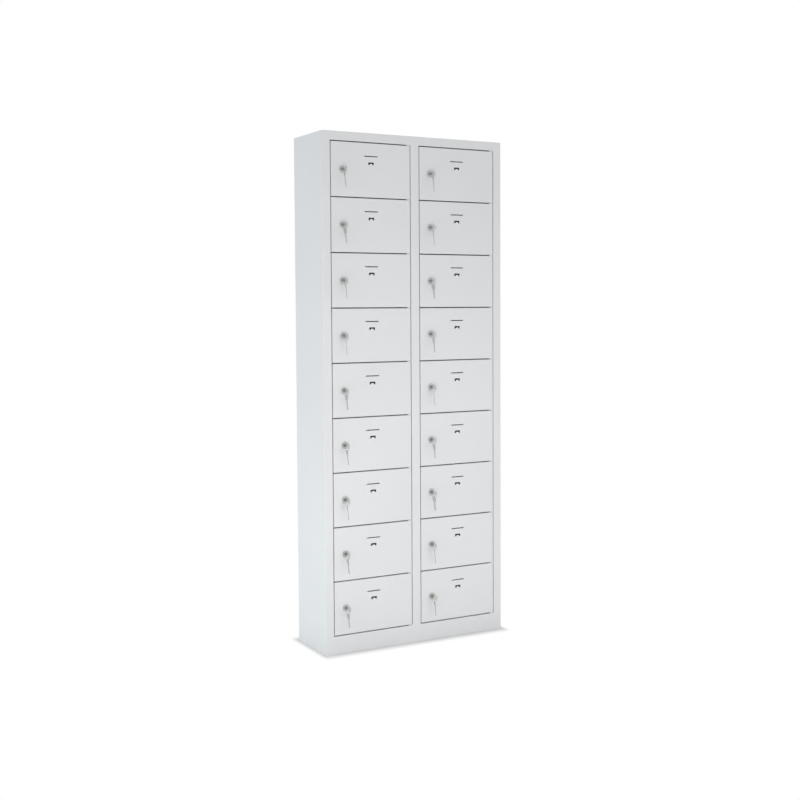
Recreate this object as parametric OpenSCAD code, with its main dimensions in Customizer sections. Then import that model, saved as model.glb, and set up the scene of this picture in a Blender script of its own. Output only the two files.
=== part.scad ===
// Steel valuables locker: two columns of small flush doors, each on two pivot pins
// at its right edge and closed by a cam lock whose key carries a ring and a spare key.
// The front faces lie in one plane; depths are measured back from that plane.

/* [Cabinet] */
// Width over the side panels
cabinet_w = 780; // [600:10:1000]
// Depth from the front faces to the back
cabinet_d = 250; // [180:10:500]
// Height from the floor to the top
cabinet_h = 1950; // [1500:10:2100]
// Thickness of the cabinet's sheet steel
sheet = 1.2; // [0.8:0.1:1.6]

/* [Front frame] */
// Face width of each side stile
side_stile_w = 34; // [28:1:60]
// Face width of the centre stile
centre_stile_w = 36; // [30:1:60]
// Height of the top rail
top_rail_h = 33; // [25:1:80]
// Height of the plinth under the doors
plinth_h = 68; // [50:1:120]
// Width of the lip behind each door's lock edge
strike_lip_w = 10; // [6:0.5:14]
// Width of the welding flanges of the stiles, the top rail and the plinth
flange_w = 16; // [12:1:20]
// Length of the front lip under each shelf
shelf_lip_h = 12; // [6:1:20]

/* [Doors] */
// Thickness of the door's sheet steel
door_sheet = 1.2; // [0.8:0.1:1.6]
// Depth of the door pan
door_d = 18; // [14:0.5:22]
// Gap between a door and the stiles
door_gap = 3; // [1.8:0.1:3.6]
// Gap between two doors, one above the other
row_gap = 4; // [3.6:0.1:6]
// Width of the folds at the back edges of the door pan
door_fold_w = 12; // [8:1:20]
// Height of the rubber buffer that the door closes on
buffer_h = 2; // [1:0.25:4]
// Radius of the rubber buffer
buffer_r = 3.5; // [2.5:0.25:4.5]

/* [Label slot] */
// Width of the label slot
slot_w = 56; // [30:1:90]
// Height of the label slot
slot_h = 3.5; // [2:0.25:5]
// Label slot's centre below the door's top edge
slot_drop = 49; // [35:1:60]
// Width of the window round the lanced tongue
notch_w = 23; // [17:1:32]
// Height of the window round the lanced tongue
notch_h = 10; // [6:0.5:16]
// Window's centre below the door's top edge
notch_drop = 76; // [66:1:85]
// Width of the lanced tongue
tongue_w = 13; // [8:0.5:16]
// Lean of the lanced tongue out of the door's face, in degrees
tongue_lean = 12; // [0:1:25]

/* [Pivots] */
// Radius of the pivot pin
pin_r = 2.5; // [1.5:0.1:3]
// Radial play of the pivot pin in the door
pin_play = 0.05; // [0.02:0.01:0.1]
// Pivot axis in from the door's right edge
pivot_inset = 9; // [7:0.5:14]
// Pivot axis behind the front faces
pivot_depth = 5; // [4.5:0.1:6]
// Thickness of the pivot bracket
bracket_t = 3; // [2:0.1:3.4]
// Reach of the pin past its bracket
pin_reach = 5; // [3.5:0.25:10]

/* [Lock] */
// Lock axis in from the door's left edge
lock_inset = 47; // [35:1:80]
// Radius of the lock's front flange
rosette_r = 14; // [10.5:0.25:16]
// Thickness of the lock's front flange
rosette_t = 2.5; // [1.5:0.1:4]
// Radius of the lock's threaded barrel
barrel_r = 9.25; // [8:0.05:10]
// Radius of the turning plug
plug_r = 6.5; // [5:0.1:7]
// Radial play of the plug in the barrel
plug_play = 0.05; // [0.02:0.01:0.1]
// Size across the flats of the lock nut
nut_af = 24; // [22:0.5:27]
// Thickness of the lock nut
nut_t = 4; // [2:0.25:6]
// Thickness of the cam
cam_t = 2; // [1.5:0.1:3]
// Width of the cam
cam_w = 14; // [10:0.5:18]
// Clearance of the cam's tip from the door's left edge line
cam_tip_gap = 2; // [1:0.5:5]

/* [Keys] */
// Thickness of a key
key_t = 1.8; // [1.2:0.1:2]
// Radius of the key's bow
bow_r = 12; // [9:0.5:14]
// Radius of the hole in the bow
key_hole_r = 2.2; // [2.1:0.1:3.5]
// Hole's centre out from the bow's centre
key_hole_out = 6; // [4:0.5:7]
// Length of the key's shank
shank_l = 36; // [30:1:45]
// Height of the key's shank
shank_h = 7.6; // [5:0.1:8.4]
// Radius of the key ring to the middle of its wire
ring_r = 10; // [9.5:0.25:13]
// Radius of the key ring's wire
wire_r = 0.6; // [0.4:0.05:0.7]

/* [Wall fixing] */
// Radius of the wall fixing holes
fixing_r = 4.5; // [2.5:0.25:7]
// Spacing of the wall fixing holes, side to side
fixing_dx = 560; // [300:10:560]
// Fixing holes' distance from the top and the floor
fixing_edge = 175; // [120:5:300]

/* [Hidden] */
// Rows of doors, and the letters of the two columns
rows = 9;
columns = ["L", "R"];
curve_fn = 48;
wire_fn = 24;
over = 1;
paint = [0.83, 0.84, 0.84];
chrome = [0.78, 0.79, 0.8];
zinc = [0.62, 0.64, 0.65];
rubber = [0.12, 0.12, 0.12];

// Front frame, across and up
opening_w = (cabinet_w - 2 * side_stile_w - centre_stile_w) / 2;
opening_foot = plinth_h;
opening_head = cabinet_h - top_rail_h;
pitch = (opening_head - opening_foot - row_gap) / rows;
door_w = opening_w - 2 * door_gap;
door_h = pitch - row_gap;
inner_x = cabinet_w / 2 - sheet;
under_top = cabinet_h - sheet;
function opening_x(col) = -cabinet_w / 2 + side_stile_w + col * (opening_w + centre_stile_w);
function door_x(col) = opening_x(col) + door_gap;
function level_z(level) = opening_head - row_gap / 2 - level * pitch;
function door_z(row) = level_z(row) + row_gap / 2;

// Depths behind the front faces
buffer_gap = 0.3;
lip_depth = door_d + buffer_gap + buffer_h;
cam_gap = 1;
cam_depth = lip_depth + sheet + cam_gap;
swing_gap = 2;
pan_corner_r = norm([pivot_inset, door_d - pivot_depth]);
shelf_depth = max(lip_depth + 2 * sheet, pivot_depth + pan_corner_r) + swing_gap;
base_lap = 6;
back_depth = cabinet_d - sheet;

// Pivot brackets and pins
bracket_past_pin = 5;
bracket_l = door_gap + pivot_inset + bracket_past_pin;
bracket_front = 0.5;
bracket_behind_pin = 3.5;
bracket_back = pivot_depth + pin_r + bracket_behind_pin;
function pivot_x(col) = door_x(col) + door_w - pivot_inset;

// Lock, measured back from the door's face along the lock axis; seated pieces stay a hair apart
seat_gap = 0.05;
rosette_face = -seat_gap - rosette_t;
rosette_chamfer = 0.8;
plug_recess = 0.4;
plug_face = rosette_face + plug_recess;
barrel_gap = 0.2;
barrel_end = cam_depth - barrel_gap;
cam_back = cam_depth + cam_t;
screw_play = 0.1;
screw_r = 1.6;
screw_head_r = 4.5;
screw_head_t = 2.4;
screw_l = 4;
drive_side = 7;
drive_play = 0.05;
plug_wall = 2.4;
keyway_end = cam_depth - plug_wall;
keyway_play = 0.2;
cam_l = lock_inset - cam_tip_gap;
cam_root_margin = 2;
cam_root_r = max(cam_w / 2 + cam_root_margin, drive_side);
screw_tip_gap = 0.6;

// Tongue: free gap above it, and how far its root sinks into the door's sheet
tongue_gap = 4.6;
tongue_sink = door_sheet / 4;

// Buffers: how far below the door's top they sit
buffer_drop = 40;

// Keys: the inserted key's bow stands out on the lock axis, and the ring hangs to the
// lower left of it, clear of the bow through the whole quarter turn
key_tip_gap = 0.3;
bow_lap = 1.5;
bow_out = -plug_face + shank_l - (keyway_end - key_tip_gap - plug_face) + bow_r - bow_lap;
ring_out = bow_out + key_hole_out;
hang_gap = 0.35;
spare_lean = 6;
key_reach = ring_out + bow_r;
key_point_l = 3;
key_point_w = 1;
first_cut = 5.6;
cut_pitch = 3.6;
cut_depths = [1.45, 0.6, 1.7, 0.9, 1.35];
nick = 0.1;
function ring_lean(col, row) = 45 + 4 * sin(97 * row + 140 * col);
function spare_turn(col, row) = -14 + 16 * sin(106 * (row - 1) + 215 * col);

// The origin is at the middle of the whole footprint, keys included
face_y = (key_reach - cabinet_d) / 2;

shared_nodes = ["left_side_panel", "right_side_panel", "left_stile", "right_stile",
    "centre_stile", "centre_partition", "back_panel", "top_panel", "top_rail", "base_panel",
    "plinth_front", "left_column_shelves", "right_column_shelves", "pivot_brackets",
    "pivot_pins", "door_buffers"];

// A rectangular piece of sheet between two opposite corners
module slab(from, to) {
    translate(from) cube(to - from);
}

// A cylinder along the depth direction, from one depth to another
module depth_rod(r, from, to) {
    translate([0, from, 0]) rotate([-90, 0, 0]) cylinder(r = r, h = to - from, $fn = curve_fn);
}

// Side panels: flat sheets behind the stiles
module left_side_panel() {
    color(paint) slab([-cabinet_w / 2, sheet, 0], [-inner_x, back_depth, under_top]);
}

module right_side_panel() {
    color(paint) slab([inner_x, sheet, 0], [cabinet_w / 2, back_depth, under_top]);
}

// Left stile: face, outer return along the side panel, inner return with the strike lip
module left_stile() {
    color(paint) {
        edge = -cabinet_w / 2 + side_stile_w;
        union() {
            slab([-cabinet_w / 2, 0, 0], [edge, sheet, under_top]);
            slab([-inner_x, 0, 0], [-inner_x + sheet, flange_w, under_top]);
            slab([edge - sheet, 0, opening_foot], [edge, lip_depth + sheet, opening_head]);
            slab([edge - sheet, lip_depth, opening_foot],
                 [edge + strike_lip_w, lip_depth + sheet, opening_head]);
        }
    }
}

// Right stile: face, outer return along the side panel, plain return on the hinge side
module right_stile() {
    color(paint) {
        edge = cabinet_w / 2 - side_stile_w;
        union() {
            slab([edge, 0, 0], [cabinet_w / 2, sheet, under_top]);
            slab([inner_x - sheet, 0, 0], [inner_x, flange_w, under_top]);
            slab([edge, 0, opening_foot], [edge + sheet, lip_depth + sheet, opening_head]);
        }
    }
}

// Centre stile: hinge return and back lip on its left, strike lip on its right
module centre_stile() {
    color(paint) {
        half = centre_stile_w / 2;
        union() {
            slab([-half, 0, opening_foot], [half, sheet, opening_head]);
            slab([-half, 0, opening_foot], [-half + sheet, lip_depth + sheet, opening_head]);
            slab([-half, lip_depth, opening_foot], [sheet / 2, lip_depth + sheet, opening_head]);
            slab([half - sheet, 0, opening_foot], [half, lip_depth + sheet, opening_head]);
            slab([half - sheet, lip_depth, opening_foot],
                 [half + strike_lip_w, lip_depth + sheet, opening_head]);
        }
    }
}

// Partition between the columns, welded to the back lip of the centre stile
module centre_partition() {
    color(paint) slab([-sheet / 2, lip_depth + sheet, opening_foot + sheet],
                      [sheet / 2, back_depth, under_top]);
}

// Back panel over the rear edges of the sides, with four wall fixing holes
module back_panel() {
    color(paint) difference() {
        slab([-cabinet_w / 2, back_depth, 0], [cabinet_w / 2, cabinet_d, under_top]);
        for (x = [-fixing_dx / 2, fixing_dx / 2])
            for (z = [fixing_edge, cabinet_h - fixing_edge])
                translate([x, 0, z]) depth_rod(fixing_r, back_depth - over, cabinet_d + over);
    }
}

// Top panel over the sides, the front and the back
module top_panel() {
    color(paint) slab([-cabinet_w / 2, 0, under_top], [cabinet_w / 2, cabinet_d, cabinet_h]);
}

// Top rail between the stiles, with its lower return and its flange under the top panel
module top_rail() {
    color(paint) {
        edge = cabinet_w / 2 - side_stile_w;
        union() {
            slab([-edge, 0, opening_head], [edge, sheet, under_top]);
            slab([-edge, 0, opening_head], [edge, lip_depth, opening_head + sheet]);
            slab([-edge, 0, under_top - sheet], [edge, flange_w, under_top]);
        }
    }
}

// Floor of the lowest compartments
module base_panel() {
    color(paint) slab([-inner_x, shelf_depth, opening_foot],
                      [inner_x, back_depth, opening_foot + sheet]);
}

// Plinth front between the side stiles, with its top and foot returns
module plinth_front() {
    color(paint) {
        edge = cabinet_w / 2 - side_stile_w;
        union() {
            slab([-edge, 0, 0], [edge, sheet, opening_foot]);
            slab([-edge, 0, opening_foot - sheet], [edge, shelf_depth + base_lap, opening_foot]);
            slab([-edge, 0, 0], [edge, flange_w, sheet]);
        }
    }
}

// One shelf per level between two doors, with a lip under its front edge
module column_shelves(from_x, to_x) {
    color(paint) for (level = [1:rows - 1]) {
        top = level_z(level) + sheet / 2;
        union() {
            slab([from_x, shelf_depth, top - sheet], [to_x, back_depth, top]);
            slab([from_x, shelf_depth, top - shelf_lip_h], [to_x, shelf_depth + sheet, top]);
        }
    }
}

module left_column_shelves() {
    column_shelves(-inner_x, -sheet / 2);
}

module right_column_shelves() {
    column_shelves(sheet / 2, inner_x);
}

// Brackets that stand out of the hinge stiles into the gaps above and below each door
module pivot_brackets() {
    color(paint) for (col = [0, 1]) for (level = [0:rows]) {
        tip = opening_x(col) + opening_w - bracket_l;
        translate([0, 0, level_z(level)]) difference() {
            slab([tip, bracket_front, -bracket_t / 2],
                 [opening_x(col) + opening_w, bracket_back, bracket_t / 2]);
            translate([pivot_x(col), pivot_depth, -bracket_t])
                cylinder(r = pin_r, h = 2 * bracket_t, $fn = curve_fn);
        }
    }
}

// Pins pressed into the brackets: the end levels carry a door on one side only
module pivot_pins() {
    color(zinc) for (col = [0, 1]) for (level = [0:rows]) {
        up = level == 0 ? 0 : pin_reach;
        down = level == rows ? 0 : pin_reach;
        translate([pivot_x(col), pivot_depth, level_z(level) - bracket_t / 2 - down])
            cylinder(r = pin_r, h = bracket_t + up + down, $fn = curve_fn);
    }
}

// Rubber buffers on the strike lips, one behind each door's lock edge
module door_buffers() {
    color(rubber) for (col = [0, 1]) for (row = [1:rows])
        translate([opening_x(col) + (door_gap + strike_lip_w) / 2, 0, door_z(row) + door_h - buffer_drop])
            depth_rod(buffer_r, lip_depth - buffer_h, lip_depth);
}

// Tongue lanced out of the door's face, rooted at the foot of its window
module tongue() {
    translate([-tongue_w / 2, 0, -notch_h / 2 - tongue_sink])
        rotate([tongue_lean, 0, 0]) cube([tongue_w, door_sheet, notch_h - tongue_gap]);
}

// Door pan with its folds, label slot, window and tongue, lock hole and pivot holes
module door_pan() {
    union() {
        difference() {
            slab([0, 0, 0], [door_w, door_d, door_h]);
            slab([door_sheet, door_sheet, door_sheet],
                 [door_w - door_sheet, door_d - door_sheet, door_h - door_sheet]);
            slab([door_fold_w, door_sheet, door_sheet],
                 [door_w - door_fold_w, door_d + over, door_h - door_sheet]);
            translate([door_w / 2, 0, door_h - slot_drop])
                slab([-slot_w / 2, -over, -slot_h / 2],
                     [slot_w / 2, door_sheet + over, slot_h / 2]);
            translate([door_w / 2, 0, door_h - notch_drop])
                slab([-notch_w / 2, -over, -notch_h / 2],
                     [notch_w / 2, door_sheet + over, notch_h / 2]);
            translate([lock_inset, 0, door_h / 2])
                depth_rod(barrel_r + plug_play, -over, door_sheet + over);
            translate([door_w - pivot_inset, pivot_depth, -over])
                cylinder(r = pin_r + pin_play, h = door_h + 2 * over, $fn = curve_fn);
        }
        translate([door_w / 2, 0, door_h - notch_drop]) tongue();
    }
}

// Lock housing: chamfered front flange and barrel, bored for the plug
module lock_housing() {
    bore = plug_r + plug_play;
    rotate([-90, 0, 0]) rotate_extrude($fn = curve_fn) polygon([
        [bore, rosette_face], [rosette_r - rosette_chamfer, rosette_face],
        [rosette_r, rosette_face + rosette_chamfer], [rosette_r, -seat_gap],
        [barrel_r, -seat_gap], [barrel_r, barrel_end], [bore, barrel_end]]);
}

// Hexagon nut that clamps the housing against the inside of the door
module lock_nut() {
    difference() {
        translate([0, door_sheet + seat_gap, 0]) rotate([-90, 0, 0])
            cylinder(r = nut_af / sqrt(3), h = nut_t, $fn = 6);
        depth_rod(barrel_r + plug_play, 0, door_sheet + nut_t + over);
    }
}

// Outline of a key lying along X: bow centred on the origin, hole towards +X
module key_outline() {
    tip = bow_lap - bow_r - shank_l;
    difference() {
        union() {
            circle(r = bow_r, $fn = curve_fn);
            polygon([[0, -shank_h / 2], [0, shank_h / 2], [tip + key_point_l, shank_h / 2],
                     [tip, key_point_w / 2], [tip, -key_point_w / 2],
                     [tip + key_point_l, -shank_h / 2]]);
        }
        translate([key_hole_out, 0]) circle(r = key_hole_r, $fn = curve_fn);
        for (cut = [0:len(cut_depths) - 1]) {
            depth = cut_depths[cut];
            translate([tip + first_cut + cut * cut_pitch, shank_h / 2])
                polygon([[-depth, nick], [0, -depth], [depth, nick]]);
        }
    }
}

module key() {
    translate([0, 0, -key_t / 2]) linear_extrude(height = key_t) key_outline();
}

// Ring through the hole of the inserted key, with the spare key hanging from it
module ring_and_spare(lean, turn) {
    mid = ring_r * [-sin(lean), 0, -cos(lean)];
    drop = ring_r + key_hole_r - wire_r - hang_gap;
    translate([0, -ring_out, 0] + mid) {
        color(zinc) rotate([90, 0, 0]) rotate_extrude($fn = curve_fn)
            translate([ring_r, 0]) circle(r = wire_r, $fn = wire_fn);
        color(chrome) translate([0, 0, -drop]) rotate([0, -spare_lean, 0]) rotate([0, 0, turn])
            rotate([0, -90, 0]) translate([-key_hole_out, 0, 0]) key();
    }
}

module at_door(col, row) {
    translate([door_x(col), 0, door_z(row)]) children();
}

module at_lock(col, row) {
    at_door(col, row) translate([lock_inset, 0, door_h / 2]) children();
}

// A door with what is fixed to it: pan, lock housing and nut, and the hanging keys
module door(col, row) {
    color(paint) at_door(col, row) door_pan();
    color(chrome) at_lock(col, row) lock_housing();
    color(zinc) at_lock(col, row) lock_nut();
    at_lock(col, row) ring_and_spare(ring_lean(col, row), spare_turn(col, row));
}

// Plug with its keyway and the square that drives the cam
module plug() {
    difference() {
        union() {
            depth_rod(plug_r, plug_face, cam_depth - seat_gap);
            slab([-drive_side / 2, cam_depth - over, -drive_side / 2],
                 [drive_side / 2, cam_back - seat_gap, drive_side / 2]);
        }
        slab([-key_t / 2 - keyway_play, plug_face - over, -shank_h / 2 - keyway_play],
             [key_t / 2 + keyway_play, keyway_end, shank_h / 2 + keyway_play]);
        depth_rod(screw_r + screw_play, cam_back - screw_l, cam_back + over);
    }
}

// Cam that hangs down when the door is unlocked
module cam() {
    hole = drive_side / 2 + drive_play;
    difference() {
        union() {
            depth_rod(cam_root_r, cam_depth, cam_back);
            slab([-cam_w / 2, cam_depth, -cam_l], [cam_w / 2, cam_back, 0]);
        }
        slab([-hole, cam_depth - over, -hole], [hole, cam_back + over, hole]);
    }
}

// Screw that holds the cam on the plug
module cam_screw() {
    union() {
        depth_rod(screw_r, cam_back - screw_l + screw_tip_gap, cam_back + over);
        depth_rod(screw_head_r, cam_back + seat_gap, cam_back + seat_gap + screw_head_t);
    }
}

// What turns in a lock: plug, cam, cam screw and the inserted key
module lock(col, row) {
    at_lock(col, row) {
        color(chrome) plug();
        color(zinc) cam();
        color(zinc) cam_screw();
        color(chrome) translate([0, -bow_out, 0]) rotate([90, 0, -90]) key();
    }
}

translate([0, face_y, 0]) {
    left_side_panel();
    right_side_panel();
    left_stile();
    right_stile();
    centre_stile();
    centre_partition();
    back_panel();
    top_panel();
    top_rail();
    base_panel();
    plinth_front();
    left_column_shelves();
    right_column_shelves();
    pivot_brackets();
    pivot_pins();
    door_buffers();
    for (col = [0, 1]) for (row = [1:rows]) {
        door(col, row);
        lock(col, row);
    }
}
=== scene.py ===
"""Valuables locker in powder-coated steel: the dressed model, built on the part's own frame."""
import logging
import math
from collections.abc import Iterator, Sequence
from contextlib import contextmanager
from dataclasses import dataclass, field
from enum import Enum

import bmesh
import bpy
import numpy as np
from mathutils import Matrix


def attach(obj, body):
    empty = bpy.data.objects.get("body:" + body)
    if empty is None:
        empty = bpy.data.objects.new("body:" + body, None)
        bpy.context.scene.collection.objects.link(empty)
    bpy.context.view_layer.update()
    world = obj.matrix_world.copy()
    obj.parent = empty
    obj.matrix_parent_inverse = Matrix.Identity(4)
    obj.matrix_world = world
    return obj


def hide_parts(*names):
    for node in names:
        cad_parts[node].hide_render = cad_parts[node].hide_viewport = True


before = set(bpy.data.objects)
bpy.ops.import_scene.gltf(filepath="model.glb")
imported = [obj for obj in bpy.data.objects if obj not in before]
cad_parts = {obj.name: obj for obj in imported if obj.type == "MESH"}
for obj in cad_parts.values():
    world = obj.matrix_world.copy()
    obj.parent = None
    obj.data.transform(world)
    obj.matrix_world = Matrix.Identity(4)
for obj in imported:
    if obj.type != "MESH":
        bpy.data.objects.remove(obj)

log = logging.getLogger("locker")

MM = 0.001
# Metres under which two points of a mesh become one
WELD = 1e-6
# Difference under which two positions in mm, or two parts of a unit direction, are the same
SAME = 1e-6
# Degrees of turn under which two faces are one flat face
FLAT = 0.5
# Place of the coordinate that flat points lack: depth for an upright shape, height for a plan
DEPTH, UP = 1, 2
WHITE = (1, 1, 1, 1)


class Column(Enum):
    """The two columns of doors, with the left edge of each opening in mm."""

    LEFT = ("L", -356.0)
    RIGHT = ("R", 18.0)

    @property
    def letter(self) -> str:
        """Letter of the column in the names of its doors and locks."""
        return self.value[0]

    @property
    def opening_x(self) -> float:
        """Left edge of the column's opening, in mm."""
        return self.value[1]


class Slot(Enum):
    """The material slots of the part's record."""

    PAINT = "light_grey_paint"
    NICKEL = "nickel_plate"
    ZINC = "zinc_plate"
    RUBBER = "black_rubber"


# Surfaces


def added(name: str, data: bpy.types.ID) -> bpy.types.Object:
    """Makes an object and puts it into the scene.

    Args:
        name: Name of the object.
        data: Its mesh, camera or light.

    Returns:
        The new object, at the origin and unturned.
    """
    ob = bpy.data.objects.new(name, data)
    bpy.context.scene.collection.objects.link(ob)
    return ob


@contextmanager
def edited(mesh: bpy.types.Mesh) -> Iterator[bmesh.types.BMesh]:
    """Opens a mesh for editing, and puts the edited shape back at the end.

    Args:
        mesh: The mesh to edit.

    Yields:
        Its faces, edges and points.
    """
    work = bmesh.new()
    work.from_mesh(mesh)
    yield work
    work.to_mesh(mesh)
    work.free()
    mesh.update()


def in_space(flat: np.ndarray, third: object, column: int = DEPTH) -> np.ndarray:
    """Puts the missing coordinate into flat points.

    Args:
        flat: Array whose last axis holds two coordinates.
        third: The missing one, a number or an array that fits the other axes.
        column: DEPTH or UP.

    Returns:
        Array whose last axis holds x, y and z.
    """
    parts = [flat[..., 0], flat[..., 1]]
    parts.insert(column, np.broadcast_to(third, flat.shape[:-1]))
    return np.stack(parts, axis=-1)


class Skin:
    """Points and faces gathered from several surfaces, in mm, depth measured from the doors."""

    def __init__(self) -> None:
        """Starts with no surface."""
        self.points: list[np.ndarray] = []
        self.faces: list[np.ndarray] = []
        self.count = 0

    def _take(self, points: np.ndarray) -> np.ndarray:
        """Adds points and returns their indices.

        Args:
            points: Array whose last axis holds x, y and z.

        Returns:
            Index array with the shape of points without its last axis.
        """
        shape = points.shape[:-1]
        flat = np.asarray(points, dtype=float).reshape(-1, 3)
        index = np.arange(len(flat)).reshape(shape) + self.count
        self.points.append(flat)
        self.count += len(flat)
        return index

    def grid(
        self,
        points: np.ndarray,
        around_u: bool = False,
        around_v: bool = False,
        keep: np.ndarray | None = None,
    ) -> None:
        """Joins an m by n grid of points with quads; face normals follow du x dv.

        Args:
            points: Array of shape (m, n, 3).
            around_u: Joins the last row to the first.
            around_v: Joins the last column to the first.
            keep: Which cells get a face, shape (m - 1, n - 1); all of them if not given.
        """
        index = self._take(points)
        if around_u:
            index = np.concatenate([index, index[:1]], axis=0)
        if around_v:
            index = np.concatenate([index, index[:, :1]], axis=1)
        quads = np.stack([index[:-1, :-1], index[1:, :-1], index[1:, 1:], index[:-1, 1:]], axis=-1)
        self.faces.append(quads.reshape(-1, 4) if keep is None else quads[keep])

    def polygon(self, points: np.ndarray) -> None:
        """Adds one flat face; its normal follows the turn of its points.

        Args:
            points: Array of shape (n, 3).
        """
        self.faces.append(self._take(points).reshape(1, -1))

    def wall(
        self, loop: np.ndarray, start: float, end: float, column: int = DEPTH
    ) -> list[np.ndarray]:
        """Joins a closed outline at one place to itself at another: P(s, v) = loop(s) at v.

        Args:
            loop: The outline, shape (n, 2).
            start: Third coordinate of the first rim.
            end: Third coordinate of the second rim.
            column: DEPTH or UP.

        Returns:
            Both rims, each of shape (n, 3).
        """
        rims = [in_space(loop, value, column) for value in (start, end)]
        self.grid(np.stack(rims, axis=1), around_u=True)
        return rims

    def roll(
        self,
        centres: np.ndarray,
        ways: np.ndarray,
        section: np.ndarray,
        column: int = DEPTH,
        around: bool = False,
    ) -> np.ndarray:
        """Adds the surface P(s, v) = c(s) + d(s) rho(v), whose third coordinate is t(v).

        Args:
            centres: c at each station of an outline, shape (n, 2).
            ways: Outward direction d at each station, shape (n, 2).
            section: rho and t along the section, shape (k, 2).
            column: DEPTH or UP.
            around: Joins the last station to the first.

        Returns:
            The points, shape (n, k, 3).
        """
        plan = centres[:, None] + ways[:, None] * section[None, :, :1]
        points = in_space(plan, section[:, 1], column)
        self.grid(points, around_u=around)
        return points

    def mesh(self, name: str, weld: float = WELD, closed: bool = True) -> bpy.types.Mesh:
        """Puts the surfaces into a mesh, in metres.

        Args:
            name: Name of the mesh.
            weld: Distance in metres under which points become one.
            closed: True if the surfaces close up, so that their normals are turned outwards.

        Returns:
            The new mesh.
        """
        verts = np.concatenate(self.points) * MM
        sizes = np.concatenate([np.full(len(f), f.shape[1]) for f in self.faces])
        loops = np.concatenate([f.ravel() for f in self.faces])
        mesh = bpy.data.meshes.new(name)
        mesh.vertices.add(len(verts))
        mesh.vertices.foreach_set("co", verts.ravel())
        mesh.loops.add(len(loops))
        mesh.loops.foreach_set("vertex_index", loops.astype(np.int32))
        mesh.polygons.add(len(sizes))
        starts = np.concatenate([[0], np.cumsum(sizes)[:-1]])
        mesh.polygons.foreach_set("loop_start", starts.astype(np.int32))
        mesh.update(calc_edges=True)
        with edited(mesh) as work:
            bmesh.ops.remove_doubles(work, verts=work.verts, dist=weld)
            bmesh.ops.dissolve_degenerate(work, edges=work.edges, dist=weld)
            if closed:
                bmesh.ops.recalc_face_normals(work, faces=work.faces)
        return mesh


@dataclass(frozen=True)
class Edging:
    """What modifiers finish a mesh: sheet thickness behind the surface, and a small edge round."""

    thickness: float = 0.0
    round: float = 0.0
    segments: int = 2
    angle: float = 40.0

    def apply(self, mesh: bpy.types.Mesh) -> bpy.types.Mesh:
        """Applies the modifiers and marks the edges that stay sharp.

        Args:
            mesh: The mesh to finish.

        Returns:
            The finished mesh, with no modifier left on it.
        """
        ob = added(mesh.name, mesh)
        if self.thickness:
            wall = ob.modifiers.new("wall", "SOLIDIFY")
            wall.thickness, wall.offset = self.thickness * MM, -1.0
            wall.use_even_offset = True
        if self.round:
            edge = ob.modifiers.new("edge", "BEVEL")
            edge.width, edge.segments = self.round * MM, self.segments
            edge.limit_method, edge.angle_limit = "ANGLE", math.radians(self.angle)
            edge.use_clamp_overlap = True
        done = self._evaluated(ob)
        done.shade_smooth()
        done.set_sharp_from_angle(angle=math.radians(self.angle))
        ob.modifiers.clear()
        ob.data = done
        shade = ob.modifiers.new("shade", "WEIGHTED_NORMAL")
        shade.keep_sharp = True
        final = self._evaluated(ob)
        bpy.data.objects.remove(ob)
        bpy.data.meshes.remove(done)
        return final

    @staticmethod
    def _evaluated(ob: bpy.types.Object) -> bpy.types.Mesh:
        """A new mesh with the object's modifiers applied."""
        graph = bpy.context.evaluated_depsgraph_get()
        return bpy.data.meshes.new_from_object(
            ob.evaluated_get(graph), preserve_all_data_layers=True, depsgraph=graph
        )


def arc(
    centre: tuple[float, float], radius: float, start: float, stop: float, count: int
) -> np.ndarray:
    """Points on a circle: centre + radius (cos a, sin a), a from start to stop in degrees.

    Args:
        centre: Centre of the circle.
        radius: Its radius.
        start: First angle.
        stop: Last angle.
        count: Number of steps.

    Returns:
        Array of shape (count + 1, 2).
    """
    a = np.radians(np.linspace(start, stop, count + 1))
    return np.stack([centre[0] + radius * np.cos(a), centre[1] + radius * np.sin(a)], axis=-1)


def fold_path(
    corners: Sequence[tuple[float, float]], radii: Sequence[float], steps: int = 6
) -> np.ndarray:
    """A line through corners with a round of its own radius at each inner corner.

    At a corner with turn t, the round starts and ends radius * tan(t / 2) from it, and its
    points are centre + radius (cos a, sin a) over the turn.

    Args:
        corners: The corners in order.
        radii: A radius for each inner corner.
        steps: Steps over each round.

    Returns:
        Array of shape (n, 2).
    """
    pts = np.asarray(corners, dtype=float)
    out = [pts[:1]]
    for before, here, after, radius in zip(pts, pts[1:], pts[2:], radii):
        come, go = here - before, after - here
        come, go = come / np.linalg.norm(come), go / np.linalg.norm(go)
        turn = math.atan2(come[0] * go[1] - come[1] * go[0], float(come @ go))
        side = math.copysign(1.0, turn)
        reach = radius * math.tan(abs(turn) / 2)
        normal = side * np.array([-come[1], come[0]])
        centre = here - come * reach + normal * radius
        begin = math.atan2(-normal[1], -normal[0])
        a = np.linspace(begin, begin + turn, steps + 1)
        out.append(centre + radius * np.stack([np.cos(a), np.sin(a)], axis=-1))
    out.append(pts[-1:])
    path = np.concatenate(out)
    apart = np.linalg.norm(np.diff(path, axis=0), axis=1) > SAME
    return path[np.concatenate([[True], apart])]


def offset_path(path: np.ndarray, distance: float) -> np.ndarray:
    """The path moved sideways, to its left for a positive distance.

    Each point moves along the mean of its two segments' normals, divided by the cosine of
    half the turn, so that flat parts stay parallel.

    Args:
        path: Array of shape (n, 2).
        distance: How far, in mm.

    Returns:
        Array of shape (n, 2).
    """
    step = np.diff(path, axis=0)
    step /= np.linalg.norm(step, axis=1)[:, None]
    normal = np.stack([-step[:, 1], step[:, 0]], axis=-1)
    first, last = np.vstack([normal[:1], normal]), np.vstack([normal, normal[-1:]])
    mean = first + last
    mean /= np.linalg.norm(mean, axis=1)[:, None]
    return path + mean * (distance / np.sum(mean * first, axis=1))[:, None]


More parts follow.
